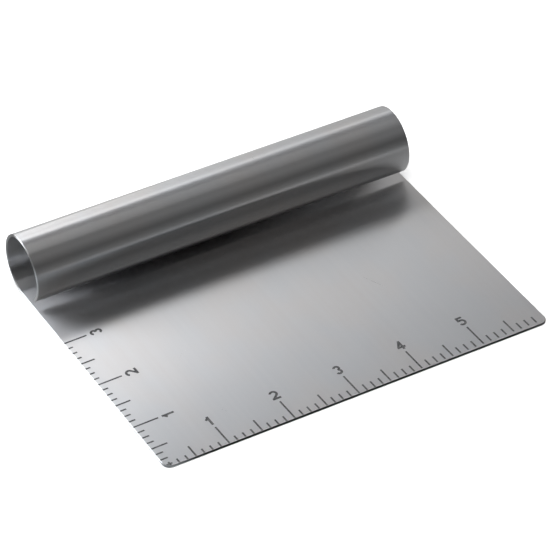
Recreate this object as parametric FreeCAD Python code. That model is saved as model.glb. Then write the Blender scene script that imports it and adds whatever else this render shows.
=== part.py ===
import FreeCAD, Part
import math
import os

# Bench scraper: one strip of stainless sheet, flat at the front and rolled at the back into a hollow handle,
# with inch scales etched and filled with dark enamel along its front and left edges.
#
# Frame: +X along the handle, +Y from the scraping edge to the handle, +Z up.
# The origin is at the middle of the footprint, on the underside.

# Driving dimensions: millimetres and degrees
INCH = 25.4
WIDTH = 6 * INCH            # length of the scraping edge and of the handle
FLAT = 105.6                # from the scraping edge to the line where the sheet starts to bend
SHEET = 1.0                 # thickness of the strip
ROLL_RADIUS = 12.7          # outside of the rolled handle
FREE_EDGE = 227.0           # direction from the roll's centre where the strip ends: 0 is back, 90 up, 180 front
CORNER_RADIUS = 3.0         # the blade's two front corners, seen from above

# Scales: both count from one zero, which lies just outside the blade's front left corner
ZERO_OUT_X = 1.1            # the zero is this far left of the blade
ZERO_OUT_Y = 2.1            # and this far in front of it
SCALE_TILT = 1.0            # the scales are etched turned this much anticlockwise
STEPS_PER_INCH = 8
FRONT_STEPS = 47            # the front scale's last line, in steps from the zero
SIDE_STEPS = 24             # the left scale's last line
LINE_WIDTH = 0.65
LINE_START = 0.8            # where the lines start, measured across the scale
INCH_LINE_END = 11.3
HALF_LINE_END = 7.6
EIGHTH_LINE_END = 4.2
NUMERAL_CENTRE = 15.0       # middle of the numerals, measured across the scale
NUMERAL_HEIGHT = 4.6
NUMERAL_WIDTH = 3.2
STROKE = 0.9                # width of the numerals' strokes
MARK_MARGIN = 0.15          # bare steel left between a mark and the blade's edge
ETCH_DEPTH = 0.10
FILL_PROUD = 0.02           # how far the fill stands above the steel

# Sizes that follow
DEPTH = FLAT + ROLL_RADIUS
LEFT = -WIDTH / 2
FRONT = -DEPTH / 2
BEND = FRONT + FLAT
MARK_HEIGHT = ETCH_DEPTH + FILL_PROUD
HALF_STEPS = STEPS_PER_INCH // 2
Z_AXIS = FreeCAD.Vector(0, 0, 1)
NOWHERE = FreeCAD.Vector(0, 0, 0)


def plan_outline(inset, low, high):
    """A prism on the blade's outline, moved in by inset: square at the back, round at the front corners."""
    radius = CORNER_RADIUS - inset
    left, right, front = LEFT + inset, -LEFT - inset, FRONT + inset
    diagonal = radius * (1 - math.sqrt(0.5))
    left_arc = Part.Arc(FreeCAD.Vector(left, front + radius, low),
                        FreeCAD.Vector(left + diagonal, front + diagonal, low),
                        FreeCAD.Vector(left + radius, front, low))
    right_arc = Part.Arc(FreeCAD.Vector(right - radius, front, low),
                         FreeCAD.Vector(right - diagonal, front + diagonal, low),
                         FreeCAD.Vector(right, front + radius, low))
    back_left = FreeCAD.Vector(left, BEND, low)
    back_right = FreeCAD.Vector(right, BEND, low)
    edges = [Part.LineSegment(back_left, left_arc.StartPoint).toShape(),
             left_arc.toShape(),
             Part.LineSegment(left_arc.EndPoint, right_arc.StartPoint).toShape(),
             right_arc.toShape(),
             Part.LineSegment(right_arc.EndPoint, back_right).toShape(),
             Part.LineSegment(back_right, back_left).toShape()]
    return Part.Face(Part.Wire(edges)).extrude(Z_AXIS * (high - low))


def rolled_handle():
    """The strip from the bend line, over the top and down to its free edge, a little above the blade."""
    bend_line = -90

    def arc(radius, start, end):
        def around(angle):
            turn = math.radians(angle)
            return FreeCAD.Vector(LEFT, BEND + radius * math.cos(turn), ROLL_RADIUS + radius * math.sin(turn))
        return Part.Arc(around(start), around((start + end) / 2), around(end))

    outer = arc(ROLL_RADIUS, bend_line, FREE_EDGE)
    inner = arc(ROLL_RADIUS - SHEET, FREE_EDGE, bend_line)
    edges = [outer.toShape(),
             Part.LineSegment(outer.EndPoint, inner.StartPoint).toShape(),
             inner.toShape(),
             Part.LineSegment(inner.EndPoint, outer.StartPoint).toShape()]
    return Part.Face(Part.Wire(edges)).extrude(FreeCAD.Vector(WIDTH, 0, 0))


def straight(start, end):
    """A straight stroke of a numeral, with square ends."""
    run = FreeCAD.Vector(end[0] - start[0], end[1] - start[1], 0)
    bar = Part.makeBox(run.Length, STROKE, MARK_HEIGHT, FreeCAD.Vector(0, -STROKE / 2, 0))
    bar.rotate(NOWHERE, Z_AXIS, math.degrees(math.atan2(run.y, run.x)))
    bar.translate(FreeCAD.Vector(start[0], start[1], 0))
    return bar


def bend(centre_x, centre_y, radius, start, sweep):
    """A curved stroke of a numeral, about its centre line's radius, anticlockwise from the start angle."""
    centre = FreeCAD.Vector(centre_x, centre_y, 0)
    outside = Part.makeCylinder(radius + STROKE / 2, MARK_HEIGHT, centre, Z_AXIS, sweep)
    inside = Part.makeCylinder(radius - STROKE / 2, MARK_HEIGHT, centre, Z_AXIS)
    ring = outside.cut(inside)
    ring.rotate(centre, Z_AXIS, start)
    return ring


def numeral(digit):
    """A plain upright numeral, one solid, with the middle of its height at the origin."""
    low = STROKE / 2                                  # centre line of a stroke along the foot
    high = NUMERAL_HEIGHT - STROKE / 2                # and along the head
    side = NUMERAL_WIDTH / 2 - STROKE / 2             # and down the right side
    lobe = (high - low) / 4                           # radius of a 3's two lobes
    bowl = 0.32 * (high - low)                        # radius of a 5's bowl
    bar = 0.28 * NUMERAL_HEIGHT                       # height of a 4's crossbar
    strokes = {
        1: [straight((0, 0), (0, NUMERAL_HEIGHT)),
            straight((0.2 * side, high), (-side, 0.7 * high))],
        2: [bend(0, high - side, side, -48, 208),
            straight((0.67 * side, high - 1.74 * side), (-side, low)),
            straight((-side - low, low), (side + low, low))],
        3: [bend(0, high - lobe, lobe, -90, 250),
            bend(0, low + lobe, lobe, -160, 250)],
        4: [straight((0.4 * side, 0), (0.4 * side, NUMERAL_HEIGHT)),
            straight((-side - low, bar), (side + low, bar)),
            straight((-side, bar), (0.4 * side, high))],
        5: [straight((-0.8 * side - low, high), (side, high)),
            straight((-0.8 * side, high), (-0.8 * side, 0.5 * NUMERAL_HEIGHT)),
            bend(0, low + bowl, bowl, -150, 280)],
    }[digit]
    glyph = strokes[0].fuse(strokes[1:]).removeSplitter()
    glyph.translate(FreeCAD.Vector(0, -NUMERAL_HEIGHT / 2, 0))
    return glyph


def front_line(step, end):
    """A line of the front scale, still square to its zero."""
    corner = FreeCAD.Vector(step * INCH / STEPS_PER_INCH - LINE_WIDTH / 2, LINE_START, 0)
    return Part.makeBox(LINE_WIDTH, end - LINE_START, MARK_HEIGHT, corner)


def side_line(step, end):
    """A line of the left scale, still square to its zero."""
    corner = FreeCAD.Vector(LINE_START, step * INCH / STEPS_PER_INCH - LINE_WIDTH / 2, 0)
    return Part.makeBox(end - LINE_START, LINE_WIDTH, MARK_HEIGHT, corner)


def front_numeral(digit):
    """A numeral of the front scale, beyond the end of its inch line."""
    glyph = numeral(digit)
    glyph.translate(FreeCAD.Vector(digit * INCH, NUMERAL_CENTRE, 0))
    return glyph


def side_numeral(digit):
    """A numeral of the left scale, with its head towards the left edge."""
    glyph = numeral(digit)
    glyph.rotate(NOWHERE, Z_AXIS, 90)
    glyph.translate(FreeCAD.Vector(NUMERAL_CENTRE, digit * INCH, 0))
    return glyph


def etched(marks):
    """The marks in place on the blade: turned with the scale, sunk, and trimmed at the blade's edges."""
    bare_edge = plan_outline(MARK_MARGIN, SHEET - ETCH_DEPTH, SHEET + FILL_PROUD)
    placed = []
    for mark in marks:
        mark.rotate(NOWHERE, Z_AXIS, SCALE_TILT)
        mark.translate(FreeCAD.Vector(LEFT - ZERO_OUT_X, FRONT - ZERO_OUT_Y, SHEET - ETCH_DEPTH))
        placed.extend(mark.common(bare_edge).Solids)
    return placed


def scale_lines(place, line, steps):
    """The inch, half-inch and eighth-inch lines of one scale, by node name."""
    inches = [step for step in range(1, steps + 1) if step % STEPS_PER_INCH == 0]
    halves = [step for step in range(1, steps + 1) if step % STEPS_PER_INCH == HALF_STEPS]
    eighths = [step for step in range(1, steps + 1) if step % HALF_STEPS != 0]
    return {
        place + "_inch_lines": etched([line(step, INCH_LINE_END) for step in inches]),
        place + "_half_inch_lines": etched([line(step, HALF_LINE_END) for step in halves]),
        place + "_eighth_inch_lines": etched([line(step, EIGHTH_LINE_END) for step in eighths]),
    }


def all_marks():
    """Every mark's solids, by node name."""
    marks = scale_lines("front", front_line, FRONT_STEPS)
    marks.update(scale_lines("side", side_line, SIDE_STEPS))
    for digit in range(1, FRONT_STEPS // STEPS_PER_INCH + 1):
        marks["front_numeral_" + str(digit)] = etched([front_numeral(digit)])
    for digit in range(1, SIDE_STEPS // STEPS_PER_INCH + 1):
        marks["side_numeral_" + str(digit)] = etched([side_numeral(digit)])

    # The two scales' first lines cross near the corner: the front one runs through.
    crossing = Part.makeCompound(marks["front_eighth_inch_lines"])
    side = marks["side_eighth_inch_lines"]
    marks["side_eighth_inch_lines"] = [piece for solid in side for piece in solid.cut(crossing).Solids]
    return marks


def blade(marks):
    """The flat of the strip, with a shallow recess for each mark."""
    recesses = Part.makeCompound([solid for solids in marks.values() for solid in solids])
    return plan_outline(0, 0, SHEET).cut(recesses)


marks = all_marks()
nodes = {"blade": blade(marks), "rolled_handle": rolled_handle()}
for name, solids in marks.items():
    nodes[name] = solids[0] if len(solids) == 1 else Part.makeCompound(solids)

os.makedirs("parts", exist_ok=True)
for name, shape in nodes.items():
    assert shape.isValid(), name + " is not a valid shape"
    shape.exportStep("parts/" + name + ".step")
    print(name, len(shape.Solids), "solids,", round(shape.Volume, 3), "mm3")
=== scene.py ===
import math

import bpy
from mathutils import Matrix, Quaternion, Vector


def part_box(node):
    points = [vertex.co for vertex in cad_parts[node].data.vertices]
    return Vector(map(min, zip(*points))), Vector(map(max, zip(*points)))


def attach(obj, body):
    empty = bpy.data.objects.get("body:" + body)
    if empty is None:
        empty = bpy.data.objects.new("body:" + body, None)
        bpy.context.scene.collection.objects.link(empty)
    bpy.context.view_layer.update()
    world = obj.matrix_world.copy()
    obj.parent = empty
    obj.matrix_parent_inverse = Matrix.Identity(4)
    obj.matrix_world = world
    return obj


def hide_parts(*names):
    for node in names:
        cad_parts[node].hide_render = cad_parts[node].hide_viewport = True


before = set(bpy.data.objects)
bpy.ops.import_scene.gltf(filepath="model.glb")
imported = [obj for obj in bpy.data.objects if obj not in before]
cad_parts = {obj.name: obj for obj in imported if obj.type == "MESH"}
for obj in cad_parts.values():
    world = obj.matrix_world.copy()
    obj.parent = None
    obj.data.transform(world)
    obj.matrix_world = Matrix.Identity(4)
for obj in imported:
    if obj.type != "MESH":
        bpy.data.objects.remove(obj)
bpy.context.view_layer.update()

# The bench scraper's looks: the steel is one continuous strip with softly rounded edges, in place of the CAD
# model's blade and rolled handle; the filled marks are the CAD model's own. Metres, in the CAD model's frame.

# ---------------------------------------------------------------- sizes, from the frame
BLADE_LOW, BLADE_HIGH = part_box("blade")
ROLL_LOW, ROLL_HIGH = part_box("rolled_handle")
SHEET = BLADE_HIGH.z - BLADE_LOW.z
HALF_SHEET = SHEET / 2
HALF_WIDTH = BLADE_HIGH.x
FRONT = BLADE_LOW.y
ROLL_RADIUS = (ROLL_HIGH.z - ROLL_LOW.z) / 2
BEND = ROLL_HIGH.y - ROLL_RADIUS
FLAT = BEND - FRONT
MIDDLE_RADIUS = ROLL_RADIUS - HALF_SHEET

# ---------------------------------------------------------------- choices, in metres and degrees
MM = 0.001
CORNER_RADIUS = 3.0 * MM        # the blade's front corners, seen from above
FREE_EDGE = math.radians(227)   # direction from the roll's centre where the strip ends: 0 is back, 90 up
EDGE_ROUND = 0.12 * MM          # every cut edge is softly deburred
EDGE_SUPPORT = 0.25 * MM        # a row of faces this wide keeps the flats flat beside the rounded edges
CORNER_STEPS = 12
RIM_STEPS = 4
BLADE_ROWS = 60
ROLL_ROWS = 180
COLUMNS = 72

VIEW_AZIMUTH = -29.853
VIEW_ELEVATION = 38.787
VIEW_ROLL = 0.243
VIEW_DISTANCE = 1.1743
VIEW_TARGET = Vector((0.00673, 0.01218, 0.0))
LENS = 215.65
SENSOR = 36.0

# brightness by the angle climbed from behind (0), over the top (0.5), to the front (1)
WALL_AND_CEILING = [(0.0, 0.30), (0.12, 0.25), (0.205, 0.24), (0.238, 0.78), (0.262, 0.15),
                    (0.36, 0.20), (0.42, 0.26), (0.48, 0.25), (0.54, 0.19), (0.60, 0.17),
                    (0.68, 0.19), (0.76, 0.14), (0.84, 0.09), (0.92, 0.12), (1.0, 0.17)]
COOL = (0.95, 0.99, 1.06)
WHITE = (1.0, 1.0, 1.0)
# name, place, aim, width, height, brightness, colour
PANELS = [("back_left", (-0.40, 0.36, 0.225), (-0.40, 0.0, 0.225), 0.44, 0.39, 2.75, COOL),
          ("back_middle", (-0.06, 0.36, 0.225), (-0.06, 0.0, 0.225), 0.24, 0.39, 0.95, WHITE),
          ("back_right", (0.26, 0.36, 0.225), (0.26, 0.0, 0.225), 0.40, 0.39, 0.14, WHITE),
          ("top_left", (-0.32, 0.10, 0.45), (-0.1, 0.05, 0.0), 0.30, 0.45, 0.54, WHITE)]
PANEL_WATTS = 4.0               # per square metre of a panel of brightness 1
LIFT_HEIGHT = 2.4
LIFT_SIZE = 3.0
LIFT_BRIGHTNESS = 3.0
# what glossy surfaces see of the floor: left, middle, right
FLOOR_FRONT = ((0.88, 0.94, 1.00), (0.01, 0.01, 0.01), (0.37, 0.37, 0.37))
FLOOR_BACK = ((0.05, 0.05, 0.05), (0.76, 0.76, 0.76), (0.50, 0.50, 0.50))

# where one stretch of the floor turns into the next: X for the first two, Y for the last
LEFT_TO_MIDDLE = (-0.10, -0.06)
MIDDLE_TO_RIGHT = (0.06, 0.12)
FRONT_TO_BACK = (-0.06, 0.10)
FLOOR_SIZE = 6.0
FLOOR_DROP = 0.05 * MM          # keeps the floor clear of the blade's underside


# ---------------------------------------------------------------- camera
def direction(azimuth, elevation):
    """The unit vector towards a viewer: azimuth 0 looks along +Y, elevation is above the horizon."""
    turn, rise = math.radians(azimuth), math.radians(elevation)
    return Vector((math.sin(turn) * math.cos(rise), -math.cos(turn) * math.cos(rise), math.sin(rise)))


def add_camera():
    data = bpy.data.cameras.new("camera")
    data.lens = LENS
    data.sensor_width = SENSOR
    data.clip_start = 0.05
    data.clip_end = 30.0
    camera = bpy.data.objects.new("camera", data)
    bpy.context.scene.collection.objects.link(camera)
    back = direction(VIEW_AZIMUTH, VIEW_ELEVATION)
    camera.location = VIEW_TARGET + back * VIEW_DISTANCE
    camera.rotation_mode = "QUATERNION"
    upright = (-back).to_track_quat("-Z", "Y")
    camera.rotation_quaternion = upright @ Quaternion((0, 0, 1), -math.radians(VIEW_ROLL))
    bpy.context.scene.camera = camera


# ---------------------------------------------------------------- node helpers
def node(tree, kind, **inputs):
    """A shader node with some of its inputs set by name."""
    made = tree.nodes.new("ShaderNode" + kind)
    for name, value in inputs.items():
        made.inputs[name.replace("_", " ")].default_value = value
    return made


def math_node(tree, operation, first, second=None):
    """A Math node; first and second are sockets or numbers."""
    made = tree.nodes.new("ShaderNodeMath")
    made.operation = operation
    for socket, value in zip(made.inputs, (first, second)):
        if value is None:
            continue
        if isinstance(value, (int, float)):
            socket.default_value = value
        else:
            tree.links.new(value, socket)
    return made.outputs[0]


def ramp(tree, factor, stops):
    """A colour ramp; stops are (position, grey or colour)."""
    made = tree.nodes.new("ShaderNodeValToRGB")
    tree.links.new(factor, made.inputs[0])
    elements = made.color_ramp.elements
    while len(elements) < len(stops):
        elements.new(0.5)
    for element, (position, value) in zip(elements, stops):
        element.position = position
        colour = (value, value, value) if isinstance(value, (int, float)) else value
        element.color = (*colour, 1.0)
    return made.outputs[0]


def blend(tree, share, first, second):
    """A colour between two colours or sockets."""
    made = tree.nodes.new("ShaderNodeMix")
    made.data_type = "RGBA"
    tree.links.new(share, made.inputs["Factor"])
    for socket, value in zip((made.inputs[6], made.inputs[7]), (first, second)):
        if isinstance(value, tuple):
            socket.default_value = (*value, 1.0)
        else:
            tree.links.new(value, socket)
    return made.outputs[2]


def remap(tree, value, low, high, to_low=0.0, to_high=1.0):
    """A smooth step from low to high."""
    made = node(tree, "MapRange", From_Min=low, From_Max=high, To_Min=to_low, To_Max=to_high)
    made.interpolation_type = "SMOOTHSTEP"
    tree.links.new(value, made.inputs["Value"])
    return made.outputs[0]


# ---------------------------------------------------------------- studio
def add_world():
    """Soft light by the angle it climbs from behind, over the top, down to the front."""
    world = bpy.data.worlds.new("studio")
    bpy.context.scene.world = world
    world.use_nodes = True
    tree = world.node_tree
    tree.nodes.clear()
    coordinates = tree.nodes.new("ShaderNodeTexCoord")
    split = tree.nodes.new("ShaderNodeSeparateXYZ")
    tree.links.new(coordinates.outputs["Generated"], split.inputs[0])
    climb = math_node(tree, "ARCTAN2", split.outputs["Z"], split.outputs["Y"])
    share = math_node(tree, "DIVIDE", climb, math.pi)
    light = ramp(tree, share, WALL_AND_CEILING)
    background = node(tree, "Background", Strength=1.0)
    tree.links.new(light, background.inputs["Color"])
    output = tree.nodes.new("ShaderNodeOutputWorld")
    tree.links.new(background.outputs[0], output.inputs["Surface"])


def add_panel(name, place, aim, width, height, brightness, colour):
    """A soft rectangular light, out of the camera's sight."""
    data = bpy.data.lights.new(name, "AREA")
    data.shape = "RECTANGLE"
    data.size = width
    data.size_y = height
    data.energy = brightness * PANEL_WATTS * width * height
    data.color = colour
    panel = bpy.data.objects.new(name, data)
    bpy.context.scene.collection.objects.link(panel)
    panel.location = place
    panel.rotation_mode = "QUATERNION"
    panel.rotation_quaternion = (Vector(aim) - Vector(place)).to_track_quat("-Z", "Y")
    panel.visible_camera = False
    return panel


def add_lights():
    """Panels behind, brightest to the left, one above left, and an overhead lift for matt surfaces."""
    for panel in PANELS:
        add_panel(*panel)
    place = (0.0, 0.0, LIFT_HEIGHT)
    lift = add_panel("lift", place, (0.0, 0.0, 0.0), LIFT_SIZE, LIFT_SIZE, LIFT_BRIGHTNESS, WHITE)
    lift.visible_glossy = False


def add_floor():
    """A plain white floor, which glossy surfaces see as brighter and darker stretches."""
    mesh = bpy.data.meshes.new("floor")
    half = FLOOR_SIZE / 2
    corners = [(-half, -half, -FLOOR_DROP), (half, -half, -FLOOR_DROP),
               (half, half, -FLOOR_DROP), (-half, half, -FLOOR_DROP)]
    mesh.from_pydata(corners, [], [(0, 1, 2, 3)])
    floor = bpy.data.objects.new("floor", mesh)
    bpy.context.scene.collection.objects.link(floor)
    material = bpy.data.materials.new("floor")
    material.use_nodes = True
    tree = material.node_tree
    tree.nodes.clear()
    place = tree.nodes.new("ShaderNodeNewGeometry")
    split = tree.nodes.new("ShaderNodeSeparateXYZ")
    tree.links.new(place.outputs["Position"], split.inputs[0])
    to_right = remap(tree, split.outputs["X"], *MIDDLE_TO_RIGHT)
    from_left = remap(tree, split.outputs["X"], *LEFT_TO_MIDDLE)
    to_back = remap(tree, split.outputs["Y"], *FRONT_TO_BACK)
    rows = []
    for left, middle, right in (FLOOR_FRONT, FLOOR_BACK):
        row = blend(tree, from_left, left, middle)
        rows.append(blend(tree, to_right, row, right))
    glow = blend(tree, to_back, *rows)
    emission = node(tree, "Emission", Strength=1.0)
    tree.links.new(glow, emission.inputs["Color"])
    white = node(tree, "BsdfDiffuse", Color=(0.9, 0.9, 0.9, 1.0))
    path = tree.nodes.new("ShaderNodeLightPath")
    mix = tree.nodes.new("ShaderNodeMixShader")
    tree.links.new(path.outputs["Is Glossy Ray"], mix.inputs[0])
    tree.links.new(white.outputs[0], mix.inputs[1])
    tree.links.new(emission.outputs[0], mix.inputs[2])
    output = tree.nodes.new("ShaderNodeOutputMaterial")
    tree.links.new(mix.outputs[0], output.inputs["Surface"])
    mesh.materials.append(material)


# ---------------------------------------------------------------- the strip of steel
def strip_point(x, along, lift):
    """A point of the strip: x along the handle, along from the scraping edge, lift off the sheet's middle."""
    if along <= FLAT:
        return (x, FRONT + along, HALF_SHEET + lift)
    turn = (along - FLAT) / MIDDLE_RADIUS - math.pi / 2
    radius = MIDDLE_RADIUS - lift
    return (x, BEND + radius * math.cos(turn), ROLL_RADIUS + radius * math.sin(turn))


def strip_rows(inset, full_length):
    """Half-width and distance along the strip of each row, for an outline moved in by inset."""
    radius = CORNER_RADIUS - inset
    rows = []
    for step in range(CORNER_STEPS + 1):
        turn = math.radians(90 * step / CORNER_STEPS)
        rows.append((HALF_WIDTH - CORNER_RADIUS + radius * math.sin(turn),
                     CORNER_RADIUS - radius * math.cos(turn)))
    for step in range(1, BLADE_ROWS + 1):
        rows.append((HALF_WIDTH - inset, CORNER_RADIUS + (FLAT - CORNER_RADIUS) * step / BLADE_ROWS))
    rolled = full_length - FLAT - EDGE_ROUND - EDGE_SUPPORT
    for step in range(1, ROLL_ROWS + 1):
        rows.append((HALF_WIDTH - inset, FLAT + rolled * step / ROLL_ROWS))
    rows.append((HALF_WIDTH - inset, full_length - inset))
    return rows


def column_x(column, half_width):
    """Where a column crosses a row that is half_width wide each way."""
    inner = half_width - EDGE_SUPPORT
    if column == 0:
        return -half_width
    if column == COLUMNS:
        return half_width
    return inner * (2 * (column - 1) / (COLUMNS - 2) - 1)


def rim_profile():
    """(inset, lift) of the rim's loops, from the top face round the cut edge to the underside."""
    loops = []
    for step in range(RIM_STEPS + 1):
        turn = math.radians(90 * step / RIM_STEPS)
        loops.append((EDGE_ROUND * (1 - math.sin(turn)), HALF_SHEET - EDGE_ROUND * (1 - math.cos(turn))))
    return loops + [(inset, -lift) for inset, lift in reversed(loops)]


def build_strip():
    """The whole strip as one closed mesh: two faces and the rounded rim between them."""
    full_length = FLAT + MIDDLE_RADIUS * (FREE_EDGE + math.pi / 2)
    row_count = len(strip_rows(0.0, full_length))
    last = row_count - 1
    border = ([(0, row) for row in range(row_count)]
              + [(column, last) for column in range(1, COLUMNS + 1)]
              + [(COLUMNS, row) for row in range(last - 1, -1, -1)]
              + [(column, 0) for column in range(COLUMNS - 1, 0, -1)])
    points, flat_places = [], []

    def add(column, row, rows, lift):
        half_width, along = rows[row]
        x = column_x(column, half_width)
        points.append(strip_point(x, along, lift))
        flat_places.append((x, along))
        return len(points) - 1

    loops = rim_profile()
    faces = []
    grids = []
    for inset, lift in (loops[0], loops[-1]):
        rows = strip_rows(inset, full_length)
        grids.append({(column, row): add(column, row, rows, lift)
                      for row in range(row_count) for column in range(COLUMNS + 1)})
    top, under = grids
    for row in range(last):
        for column in range(COLUMNS):
            ring = [(column, row), (column + 1, row), (column + 1, row + 1), (column, row + 1)]
            faces.append([top[key] for key in ring])
            faces.append([under[key] for key in reversed(ring)])
    previous = [top[key] for key in border]
    for inset, lift in loops[1:-1]:
        rows = strip_rows(inset, full_length)
        current = [add(column, row, rows, lift) for column, row in border]
        faces += stitched(previous, current)
        previous = current
    faces += stitched(previous, [under[key] for key in border])

    mesh = bpy.data.meshes.new("steel_strip")
    mesh.from_pydata(points, [], faces)
    uv = mesh.uv_layers.new(name="strip")
    for loop in mesh.loops:
        uv.data[loop.index].uv = flat_places[loop.vertex_index]
    mesh.shade_smooth()
    mesh.validate()
    return mesh


def stitched(first, second):
    """Quads between two closed loops of the same length."""
    count = len(first)
    return [[first[i], first[(i + 1) % count], second[(i + 1) % count], second[i]] for i in range(count)]


# ---------------------------------------------------------------- materials
STEEL_ROUGHNESS = 0.245         # of the bare sheet; the next five add to it or take from it
GRAIN_ROUGHNESS = 0.05
STREAK_ROUGHNESS = 0.02
SMUDGE_ROUGHNESS = 0.04
SCRATCH_SMOOTHNESS = 0.03
EDGE_ROUGHNESS = 0.15
GRAIN_HEIGHT = 0.004 * MM
FILL_PATCHES = 1300.0           # patches of thinner fill per metre


def new_material(name):
    material = bpy.data.materials.new(name)
    material.use_nodes = True
    tree = material.node_tree
    return material, tree, tree.nodes["Principled BSDF"]


def strip_place(tree, across, along, turn=0.0):
    """The place on the flat strip, in features per metre across and along it."""
    uv = tree.nodes.new("ShaderNodeUVMap")
    uv.uv_map = "strip"
    mapping = node(tree, "Mapping", Scale=(across, along, 1.0), Rotation=(0.0, 0.0, math.radians(turn)))
    mapping.vector_type = "TEXTURE" if turn else "POINT"
    if turn:
        mapping.inputs["Scale"].default_value = (1 / across, 1 / along, 1.0)
    tree.links.new(uv.outputs[0], mapping.inputs["Vector"])
    return mapping.outputs[0]


def noise(tree, place, detail=2.0, seed=0.0):
    """Smooth noise about 0.5; place is already scaled."""
    made = node(tree, "TexNoise", Scale=1.0, Detail=detail, Roughness=0.55)
    made.noise_dimensions = "4D"
    made.inputs["W"].default_value = seed
    tree.links.new(place, made.inputs["Vector"])
    return made.outputs["Fac"]


def cut_edge_mask(tree):
    """1 on the strip's straight cut edges at the front and sides, 0 inside."""
    uv = tree.nodes.new("ShaderNodeUVMap")
    uv.uv_map = "strip"
    split = tree.nodes.new("ShaderNodeSeparateXYZ")
    tree.links.new(uv.outputs[0], split.inputs[0])
    to_side = math_node(tree, "SUBTRACT", HALF_WIDTH, math_node(tree, "ABSOLUTE", split.outputs["X"]))
    to_edge = math_node(tree, "MINIMUM", to_side, split.outputs["Y"])
    return remap(tree, to_edge, EDGE_ROUND, 3 * EDGE_ROUND, 1.0, 0.0)


def steel_material():
    """Stainless sheet with a fine grain that runs from the scraping edge round the roll, and light wear."""
    material, tree, shader = new_material("brushed_stainless")
    shader.inputs["Metallic"].default_value = 1.0
    shader.inputs["Anisotropic"].default_value = 1.0
    tangent = tree.nodes.new("ShaderNodeTangent")
    tangent.direction_type = "UV_MAP"
    tangent.uv_map = "strip"
    tree.links.new(tangent.outputs[0], shader.inputs["Tangent"])

    grain = noise(tree, strip_place(tree, 3600.0, 45.0), detail=3.0)
    streaks = noise(tree, strip_place(tree, 420.0, 9.0), detail=2.0, seed=3.0)
    clouds = noise(tree, strip_place(tree, 32.0, 26.0), detail=2.0, seed=7.0)
    smudges = noise(tree, strip_place(tree, 85.0, 70.0), detail=4.0, seed=11.0)
    hairlines = noise(tree, strip_place(tree, 2300.0, 22.0, 24.0), detail=1.0, seed=5.0)
    hairlines = remap(tree, hairlines, 0.72, 0.82)
    strays = noise(tree, strip_place(tree, 2600.0, 30.0, -58.0), detail=1.0, seed=9.0)
    strays = remap(tree, strays, 0.74, 0.84)
    scratches = math_node(tree, "MAXIMUM", hairlines, strays)
    edge = cut_edge_mask(tree)

    # colour: faintly warm and cool clouds, a little lift along the grain, bare bright cut edges
    tint = blend(tree, remap(tree, clouds, 0.38, 0.62), (0.656, 0.662, 0.674), (0.676, 0.660, 0.654))
    rubbed = math_node(tree, "MULTIPLY", remap(tree, streaks, 0.3, 0.7), 0.35)
    worn = blend(tree, rubbed, tint, (0.70, 0.70, 0.705))
    scored = blend(tree, math_node(tree, "MULTIPLY", scratches, 0.20), worn, (0.80, 0.80, 0.80))
    colour = blend(tree, edge, scored, (0.90, 0.90, 0.90))
    tree.links.new(colour, shader.inputs["Base Color"])

    # roughness: grain and streaks along it, smudges over it, smoother scratches, rougher cut edges
    rough = math_node(tree, "ADD", STEEL_ROUGHNESS, math_node(tree, "MULTIPLY", grain, GRAIN_ROUGHNESS))
    rough = math_node(tree, "ADD", rough, math_node(tree, "MULTIPLY", streaks, STREAK_ROUGHNESS))
    rough = math_node(tree, "ADD", rough, math_node(tree, "MULTIPLY", smudges, SMUDGE_ROUGHNESS))
    rough = math_node(tree, "SUBTRACT", rough, math_node(tree, "MULTIPLY", scratches, SCRATCH_SMOOTHNESS))
    rough = math_node(tree, "ADD", rough, math_node(tree, "MULTIPLY", edge, EDGE_ROUGHNESS))
    tree.links.new(rough, shader.inputs["Roughness"])

    height = math_node(tree, "SUBTRACT", grain, math_node(tree, "MULTIPLY", scratches, 0.2))
    bump = node(tree, "Bump", Strength=0.25, Distance=GRAIN_HEIGHT)
    tree.links.new(height, bump.inputs["Height"])
    tree.links.new(bump.outputs[0], shader.inputs["Normal"])
    return material


def fill_material():
    """Dark baked fill of the etched marks, a little thin and greyer in places."""
    material, tree, shader = new_material("dark_fill")
    place = tree.nodes.new("ShaderNodeTexCoord").outputs["Object"]
    mapping = node(tree, "Mapping", Scale=(FILL_PATCHES, FILL_PATCHES, FILL_PATCHES))
    tree.links.new(place, mapping.inputs["Vector"])
    patches = noise(tree, mapping.outputs[0], detail=3.0)
    colour = blend(tree, remap(tree, patches, 0.40, 0.68), (0.022, 0.022, 0.024), (0.10, 0.10, 0.10))
    tree.links.new(colour, shader.inputs["Base Color"])
    tree.links.new(remap(tree, patches, 0.3, 0.7, 0.45, 0.7), shader.inputs["Roughness"])
    return material


# ---------------------------------------------------------------- assembly
def add_steel():
    piece = bpy.data.objects.new("steel_strip", build_strip())
    bpy.context.scene.collection.objects.link(piece)
    piece.data.materials.append(steel_material())
    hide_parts("blade", "rolled_handle")
    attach(piece, "root")


def dress_marks():
    fill = fill_material()
    for name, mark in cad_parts.items():
        if name in ("blade", "rolled_handle"):
            continue
        mark.data.materials.clear()
        mark.data.materials.append(fill)


bpy.context.scene.view_settings.view_transform = "Standard"
add_camera()
add_world()
add_lights()
add_floor()
add_steel()
dress_marks()
